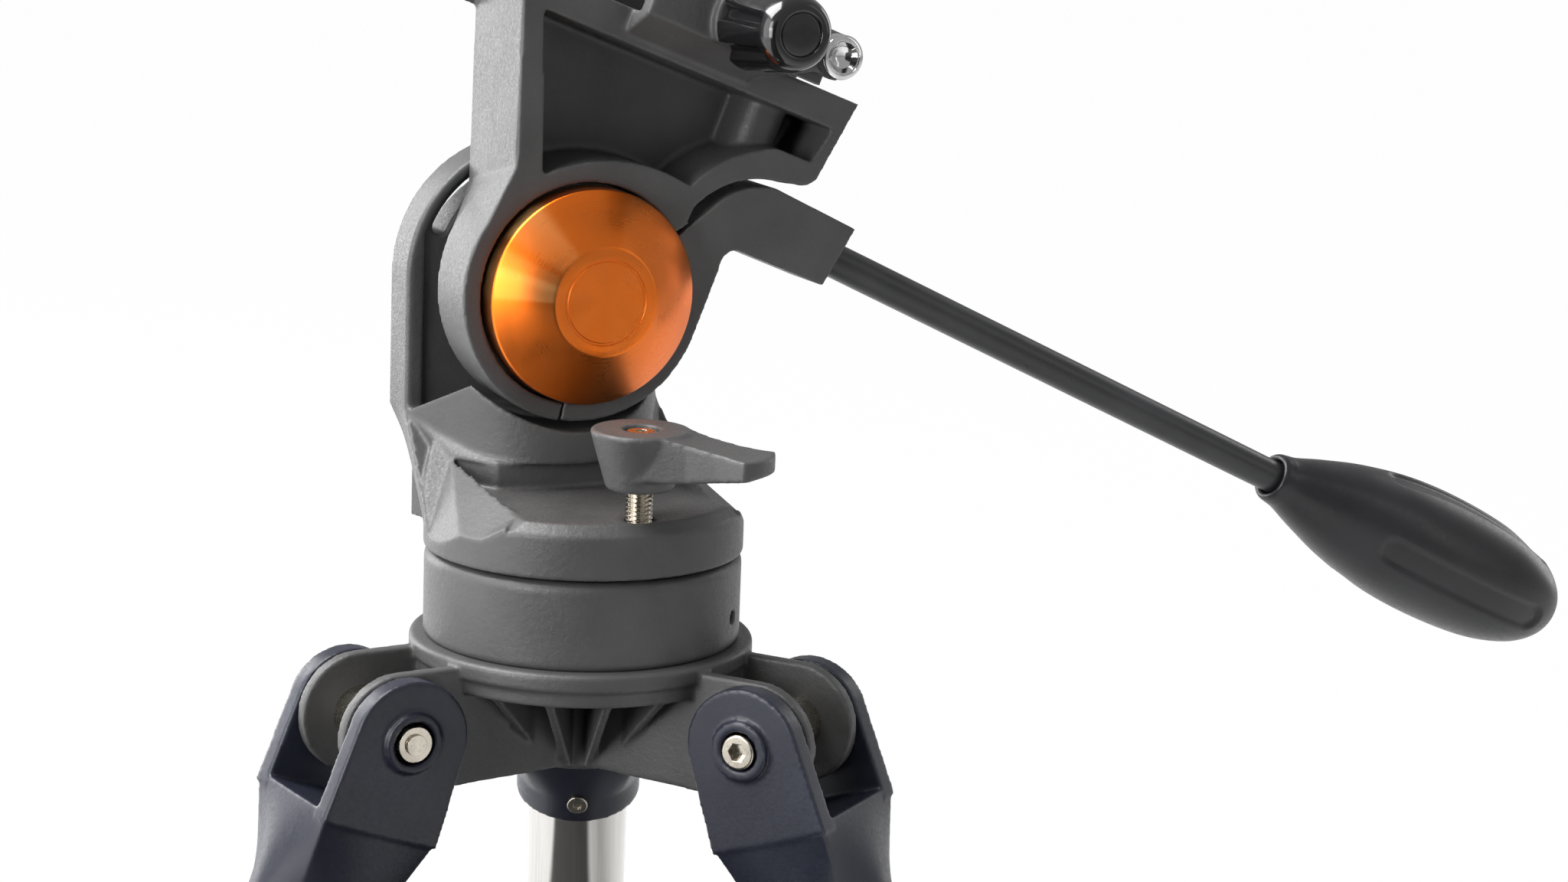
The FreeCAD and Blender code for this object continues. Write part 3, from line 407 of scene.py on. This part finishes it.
def lathe(bm, origin, axis, side, up, profile, around, radius_at=None):
    """Turns (radius, distance) points about an axis. radius_at(radius, distance, turn) may
    change the radius round the piece."""
    rings = []
    for radius, distance in profile:
        ring = []
        for i in range(around):
            turn = 2 * math.pi * i / around
            reach = radius_at(radius, distance, turn) if radius_at else radius
            ring.append(bm.verts.new(origin + axis * distance
                                     + (side * math.cos(turn) + up * math.sin(turn)) * reach))
        rings.append(ring)
    skin_rings(bm, rings)


def blend_profile(points, steps):
    """A smooth Catmull-Rom curve through (radius, distance) points."""
    smooth = []
    for i in range(len(points) - 1):
        before = points[max(i - 1, 0)]
        here, after = points[i], points[i + 1]
        beyond = points[min(i + 2, len(points) - 1)]
        for k in range(steps):
            t = k / steps
            smooth.append(tuple(
                0.5 * (2 * b + (c - a) * t + (2 * a - 5 * b + 4 * c - d) * t * t
                       + (3 * b - a - 3 * c + d) * t ** 3)
                for a, b, c, d in zip(before, here, after, beyond)))
    return smooth + [points[-1]]


def smoothstep(low, high, value):
    t = min(max((value - low) / (high - low), 0.0), 1.0)
    return t * t * (3 - 2 * t)


# ---- pieces made in mesh code ------------------------------------------------------------

def altitude_knob(material):
    """The broad turned cone with a flat nose and one fine turned ring on it."""
    low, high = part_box("altitude_knob")
    centre = Vector(((low.x + high.x) / 2, 0.0, (low.z + high.z) / 2))
    axis, side, up = Vector((0, -1, 0)), Vector((1, 0, 0)), Vector((0, 0, 1))
    nose, back, rim = -low.y, -high.y, (high.x - low.x) / 2
    middle = 0.5 * MM
    profile = [
        (0.25 * rim, back + 1.0 * MM), (rim - 2.5 * MM, back + 1.0 * MM),
        (rim - 2.3 * MM, back + 0.1 * MM), (rim - 0.5 * MM, back), (rim - 0.15 * MM, back + 0.15 * MM),
        (rim, back + 0.5 * MM), (rim, back + 7.6 * MM), (rim - 0.12 * MM, back + 8.1 * MM),
        (rim - 0.45 * MM, back + 8.6 * MM), (0.52 * rim, nose - 0.45 * MM),
        (0.505 * rim, nose - 0.12 * MM), (0.49 * rim, nose), (0.40 * rim, nose),
        (0.396 * rim, nose - 0.25 * MM), (0.376 * rim, nose - 0.25 * MM), (0.372 * rim, nose),
        (middle, nose)]
    bm = bmesh.new()
    lathe(bm, centre, axis, side, up, profile, 144)
    mesh_object("altitude_knob_shell", bm, material, "clutch_knob", "orange_anodised",
                "altitude_knob")


def grip_scallop(distance, turn, radius):
    """Depth of the long thumb scallops pressed into the grip, four around it."""
    first, last, half, deep = 45.0 * MM, 110.0 * MM, 4.9 * MM, 1.5 * MM
    spacing = math.pi / 2
    lead = math.radians(17.1)
    offset = (turn - lead + spacing / 2) % spacing - spacing / 2
    across = offset * radius
    beyond = max(first - distance, 0.0, distance - last)
    reach = math.hypot(across, beyond)
    return deep * (1 - smoothstep(half - 1.6 * MM, half + 0.5 * MM, reach))


def handle_grip(material):
    """The swelling grip with a rolled neck and four long scallops."""
    origin, axis, _, _ = spin_axes("pan_handle_twist")
    side = Vector((0, -1, 0))
    up = axis.cross(side)
    start = along_axis("handle_grip", origin, axis)[0]
    outline = [(5.5, 3.0), (5.7, 0.9), (6.4, 0.1), (7.3, 0.15), (8.0, 1.2), (8.4, 3.4),
               (9.2, 7.5), (12.6, 18.0), (17.0, 34.0), (20.4, 54.0), (21.3, 76.0),
               (20.0, 98.0), (16.4, 113.5), (11.6, 122.6), (6.0, 127.2), (0.4, 128.5)]
    profile = [(r * MM, start + s * MM) for r, s in blend_profile(outline, 12)]

    def scalloped(radius, distance, turn):
        return radius - grip_scallop(distance - start, turn, radius)

    bm = bmesh.new()
    lathe(bm, origin, axis, side, up, profile, 192, scalloped)
    mesh_object("handle_grip_shell", bm, material, "pan_handle", "grip_black",
                "handle_grip")


def threaded_rod(name, joint, node, material, body, slot):
    """A rod with a real helical thread, tapered in at both ends."""
    radius, pitch = THREAD_RADIUS, THREAD_PITCH
    origin, axis, side, up = spin_axes(joint)
    start, end = along_axis(node, origin, axis)
    depth = 0.61 * pitch
    steps_per_turn = 8
    count = round((end - start) / pitch * steps_per_turn)
    profile = [(radius, start + (end - start) * i / count) for i in range(count + 1)]

    def thread(_, distance, turn):
        phase = ((distance - start) / pitch - turn / (2 * math.pi)) % 1.0
        groove = depth * (1 - abs(2 * phase - 1)) ** 0.8
        taper = max(0.0, pitch - min(distance - start, end - distance))
        return radius - max(groove, 0.6 * taper)

    bm = bmesh.new()
    lathe(bm, origin, axis, side, up, profile, 40, thread)
    mesh_object(name, bm, material, body, slot, node)


def clamp_knob(material):
    """The lobed clamp knob: seven flutes that run out before a rolled front rim."""
    origin, axis, side, up = spin_axes("saddle_clamp_turn")
    back, front = along_axis("clamp_knob", origin, axis)
    length = front - back
    outline = [(11.8, 0.0), (13.2, 0.15), (13.6, 0.9), (13.3, 4.0), (12.4, 12.0), (11.5, 20.0),
               (10.8, 23.5), (9.9, 25.6), (8.6, 26.9), (7.2, 27.2), (6.45, 27.0), (6.3, 26.4)]
    drawn_length = 26.5 * MM
    stretch = length / drawn_length
    profile = [(r * MM, back + s * MM * stretch) for r, s in blend_profile(outline, 8)]
    flutes, lead, deep = 7, 0.21, 2.5 * MM

    def fluted(radius, distance, turn):
        phase = math.cos(flutes * (turn + lead))
        run = distance - back
        fade = 1 - smoothstep(length - 7.5 * MM, length - 3.6 * MM, run)
        return radius - deep * fade * smoothstep(-0.15, 1.0, phase)

    bm = bmesh.new()
    lathe(bm, origin, axis, side, up, profile, 168, fluted)
    mesh_object("clamp_knob_shell", bm, material, "saddle_clamp", "black_gloss",
                "clamp_knob")


def clamp_knob_cap(material):
    """The flat round cap pressed into the clamp knob's nose."""
    origin, axis, side, up = spin_axes("saddle_clamp_turn")
    _, front = along_axis("clamp_knob_cap", origin, axis)
    outline = [(6.2, -3.0), (6.2, -1.35), (6.0, -1.12), (5.7, -1.05), (3.0, -1.0), (0.3, -0.98)]
    profile = [(r * MM, front + s * MM) for r, s in outline]
    bm = bmesh.new()
    lathe(bm, origin, axis, side, up, profile, 72)
    mesh_object("clamp_knob_nose_cap", bm, material, "saddle_clamp", "black_gloss",
                "clamp_knob_cap")


def thumb_screw(material):
    """Chromed thumbscrew: knurled head with a dished face, a collar and a long stem."""
    origin, axis, side, up = spin_axes("saddle_thumbscrew_turn")
    start, end = along_axis("thumb_screw", origin, axis)
    outline = [(2.4, 0.0), (2.95, 2.6), (2.95, 9.6), (3.5, 11.6), (4.3, 14.0), (4.9, 14.6),
               (5.0, 18.0), (5.2, 18.25), (6.1, 18.3), (6.5, 18.8), (6.5, 19.1), (6.5, 23.0),
               (6.3, 23.6), (5.7, 23.95), (5.1, 24.0), (4.9, 23.7), (4.7, 23.7), (4.5, 23.9),
               (3.2, 22.3), (1.4, 21.4), (0.2, 21.4)]
    reach = (end - start) / (24.2 * MM)
    profile = []
    for (r0, s0), (r1, s1) in zip(outline, outline[1:]):
        pieces = 1 + round(abs(s1 - s0) / 0.35)
        profile += [(r0 + (r1 - r0) * k / pieces, s0 + (s1 - s0) * k / pieces)
                    for k in range(pieces)]
    profile = [(r * MM, start + s * MM * reach) for r, s in profile + [outline[-1]]]
    teeth, slant, cut = 40, 3.6, 0.22 * MM
    knurl_start, knurl_end, knurl_floor = 18.7, 23.1, 6.3 * MM

    def knurled(radius, distance, turn):
        run = (distance - start) / MM / reach
        if not knurl_start < run < knurl_end or radius < knurl_floor:
            return radius
        crossing = math.cos(teeth * turn + run * slant) * math.cos(teeth * turn - run * slant)
        return radius - cut * (0.5 + 0.5 * crossing)

    bm = bmesh.new()
    lathe(bm, origin, axis, side, up, profile, 240, knurled)
    mesh_object("thumb_screw_head", bm, material, "saddle_thumbscrew", "chrome",
                "thumb_screw")


# ---- castings and mouldings with softened edges ------------------------------------------

def softened(node, material, passes):
    """A copy of a CAD node with rounded edges and filleted corners, made by rebuilding its
    skin on a fine grid, smoothing it and thinning it out where it is flat."""
    piece = bpy.data.objects.new(f"{node}_skin", NODES[node].data.copy())
    bpy.context.scene.collection.objects.link(piece)
    rebuild = piece.modifiers.new("rebuild", "REMESH")
    rebuild.mode = "VOXEL"
    rebuild.voxel_size = GRID
    smooth = piece.modifiers.new("smooth", "SMOOTH")
    smooth.factor = 0.5
    smooth.iterations = passes
    thin = piece.modifiers.new("thin", "DECIMATE")
    thin.ratio = SHARE_OF_FACES_KEPT
    graph = bpy.context.evaluated_depsgraph_get()
    mesh = bpy.data.meshes.new_from_object(piece.evaluated_get(graph))
    piece.modifiers.clear()
    piece.data = mesh
    mesh.materials.clear()
    mesh.materials.append(material)
    mesh.shade_smooth()
    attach(piece, body_of(NODES[node])[0])
    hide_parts(node)


# ---- carried-over CAD nodes --------------------------------------------------------------

def finish_node(node, material):
    """Gives a CAD node its material."""
    piece = NODES[node]
    piece.data.materials.clear()
    piece.data.materials.append(material)


# ---- stage -------------------------------------------------------------------------------

def studio_axes():
    """The camera's right, up and back directions in the row frame."""
    azimuth, elevation, roll = (math.radians(angle) for angle in VIEW_ANGLES)
    back = Vector((math.sin(azimuth) * math.cos(elevation),
                   -math.cos(azimuth) * math.cos(elevation), math.sin(elevation)))
    right = (-back).cross(Vector((0, 0, 1))).normalized()
    up = right.cross(-back)
    turned_right = right * math.cos(roll) + up * math.sin(roll)
    turned_up = -right * math.sin(roll) + up * math.cos(roll)
    return turned_right, turned_up, back


def camera():
    """Places the camera and returns the point that it aims at."""
    right, up, back = studio_axes()
    gap_plane = (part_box("azimuth_base")[1].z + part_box("azimuth_arm")[0].z) / 2
    aim = Vector((0, 0, gap_plane)) + right * AIM_RIGHT + up * AIM_UP
    data = bpy.data.cameras.new("camera")
    data.sensor_width = SENSOR_WIDTH
    data.lens = FOCAL_LENGTH
    data.clip_start = 0.05
    eye = bpy.data.objects.new("camera", data)
    bpy.context.scene.collection.objects.link(eye)
    turn = Matrix((right, up, back)).transposed()
    eye.matrix_world = Matrix.Translation(aim + back * VIEW_DISTANCE) @ turn.to_4x4()
    bpy.context.scene.camera = eye
    return aim


def softbox(aim, name, direction, distance, width, height, power):
    """A rectangular area light that faces the point aimed at."""
    right, up, back = studio_axes()
    towards = (right * direction[0] + up * direction[1] + back * direction[2]).normalized()
    data = bpy.data.lights.new(name, "AREA")
    data.shape = "RECTANGLE"
    data.size, data.size_y = width, height
    data.energy = power
    lamp = bpy.data.objects.new(name, data)
    bpy.context.scene.collection.objects.link(lamp)
    lamp.matrix_world = (Matrix.Translation(aim + towards * distance)
                         @ towards.to_track_quat("Z", "Y").to_matrix().to_4x4())


def seen_by_camera(tree, lit, glow):
    """Shows the camera one shader and lights the scene with another."""
    ray = put(tree, "ShaderNodeLightPath").outputs["Is Camera Ray"]
    return put(tree, "ShaderNodeMixShader", {0: ray, 1: lit, 2: glow}).outputs[0]


def towards_camera(tree, way, pale, dim):
    """A value that is pale all round and dim within a wedge of directions round the camera."""
    right, _, back = studio_axes()
    centre = (back - right * WEDGE_TURN) * Vector((1, 1, 0))
    centre.normalize()
    facing = put(tree, "ShaderNodeVectorMath", {0: way, 1: tuple(centre)},
                 operation="DOT_PRODUCT").outputs["Value"]
    outer = math.cos(math.radians(WEDGE_OUTER))
    inner = math.cos(math.radians(WEDGE_INNER))
    return ramp(tree, facing, outer, inner, pale, dim)


def paper_material():
    """Pale paper that the camera sees as white, with a dim wedge in what it throws back."""
    material, tree, shader, place = blank_material("paper", Roughness=0.9)
    behind = studio_axes()[2] * Vector((WEDGE_START, WEDGE_START, 0))
    ahead = put(tree, "ShaderNodeVectorMath", {0: place, 1: tuple(behind)}, operation="ADD")
    level = put(tree, "ShaderNodeVectorMath", {0: ahead.outputs[0], 1: (1, 1, 0)},
                operation="MULTIPLY")
    way = put(tree, "ShaderNodeVectorMath", {0: level.outputs[0]},
              operation="NORMALIZE").outputs[0]
    fibre = noise(tree, place, 30.0, 3.0)
    pale = mix_colour(tree, fibre, grey(0.62), grey(0.66))
    tree.links.new(mix_colour(tree, towards_camera(tree, way, 0.0, 1.0), pale, grey(0.03)),
                   shader.inputs["Base Color"])
    white = put(tree, "ShaderNodeEmission", {"Color": grey(1.0), "Strength": 1.0}).outputs[0]
    paper = put(tree, "ShaderNodeMixShader", {0: PAPER_SHARE, 1: white, 2: shader.outputs[0]})
    tree.links.new(seen_by_camera(tree, shader.outputs[0], paper.outputs[0]),
                   tree.nodes["Material Output"].inputs["Surface"])
    return material


def backdrop():
    """A plain pale floor just under the object."""
    floor_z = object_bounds()[0][2] - FLOOR_GAP
    bm = bmesh.new()
    corners = [bm.verts.new((x * FLOOR_HALF, y * FLOOR_HALF, floor_z))
               for x, y in ((-1, -1), (1, -1), (1, 1), (-1, 1))]
    bm.faces.new(corners)
    mesh = bpy.data.meshes.new("floor")
    bm.to_mesh(mesh)
    bm.free()
    floor = bpy.data.objects.new("floor", mesh)
    bpy.context.scene.collection.objects.link(floor)
    mesh.materials.append(paper_material())
    floor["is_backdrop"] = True


def sky():
    """A plain pale surround that lights the object, and that the camera sees as white."""
    world = bpy.data.worlds.new("studio")
    world.use_nodes = True
    bpy.context.scene.world = world
    tree = world.node_tree
    way = put(tree, "ShaderNodeTexCoord").outputs["Generated"]
    light = tree.nodes["Background"]
    light.inputs["Color"].default_value = grey(1.0)
    tree.links.new(towards_camera(tree, way, SKY_PALE, SKY_DIM), light.inputs["Strength"])
    white = put(tree, "ShaderNodeBackground", {"Color": grey(1.0), "Strength": 1.0})
    tree.links.new(seen_by_camera(tree, light.outputs[0], white.outputs[0]),
                   tree.nodes["World Output"].inputs["Surface"])


def studio():
    """Camera, lights, floor and surround."""
    aim = camera()
    for light in LIGHTS:
        softbox(aim, *light)
    backdrop()
    sky()
    bpy.context.scene.view_settings.view_transform = "Standard"


# ---- the object --------------------------------------------------------------------------

CASTINGS = ("tripod_hub", "azimuth_base", "azimuth_arm", "altitude_head", "pan_handle_bracket",
            "lock_lever")
STEEL = ("base_fixing_screws", "leg_pivot_bolts", "leg_pivot_nuts", "base_set_screw",
         "azimuth_spindle", "spindle_washer", "spindle_nut", "altitude_shaft", "shaft_washer",
         "shaft_nut", "altitude_stop_pin", "bracket_screws", "knob_spring_washer",
         "lever_cap_screw", "leg_set_screw_1", "leg_set_screw_2", "leg_set_screw_3",
         "leg_pivot_spacers")
PALE = ("leg_pivot_washers", "azimuth_thrust_washer", "brake_pad", "friction_washer")


def dress():
    """Gives every node its material, and puts the pieces made in mesh code in place."""
    navy = navy_plastic()
    nylon = pale_plastic("nylon", (0.72, 0.70, 0.64, 1.0))
    bronze = plated_steel("bronze", (0.48, 0.30, 0.15, 1.0), 0.35)
    cast = cast_paint()
    nickel = plated_steel("plated_steel", (0.66, 0.61, 0.52, 1.0))
    for node in CASTINGS:
        softened(node, cast, CASTING_PASSES)
    finish_node("saddle_jaw", cast)
    for number in (1, 2, 3):
        softened(f"leg_yoke_{number}", navy, MOULDING_PASSES)
        origin = Vector(JOINTS[f"leg_{number}_fold"]["pos_m"])
        low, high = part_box(f"leg_tube_{number}")
        direction = (low + high) / 2 - origin
        finish_node(f"leg_tube_{number}", tube_steel(f"stainless_tube_{number}", direction))
    for node in STEEL:
        finish_node(node, nickel)
    for node in PALE:
        finish_node(node, nylon)
    for node in ("azimuth_bushing", "altitude_bushing"):
        finish_node(node, bronze)
    finish_node("knob_insert", plated_steel("brass", (0.78, 0.57, 0.26, 1.0), 0.22))
    finish_node("handle_rod", black_moulded("rod_satin", (0.022, 0.0225, 0.024, 1.0), 0.34, 1500.0))
    joint = JOINTS["clutch_knob_turn"]
    orange = turned_metal("orange_anodised", (0.92, 0.170, 0.010, 1.0), 0.29, 0.80,
                          joint["pos_m"], joint["axis"])
    altitude_knob(orange)
    handle_grip(black_moulded("grip_black", (0.0095, 0.0095, 0.0115, 1.0), 0.33, 700.0))
    gloss = black_moulded("gloss_black", (0.0045, 0.0045, 0.005, 1.0), 0.16, 400.0, 0.6)
    clamp_knob(gloss)
    clamp_knob_cap(gloss)
    thumb_screw(plated_steel("chrome", (0.80, 0.80, 0.80, 1.0), 0.09))
    threaded_rod("lock_stud_threaded", "azimuth_lock_turn", "lock_stud", nickel, "lock",
                 "plated_steel")
    threaded_rod("clamp_screw_threaded", "saddle_clamp_turn", "clamp_screw", nickel,
                 "saddle_clamp", "plated_steel")


dress()
studio()
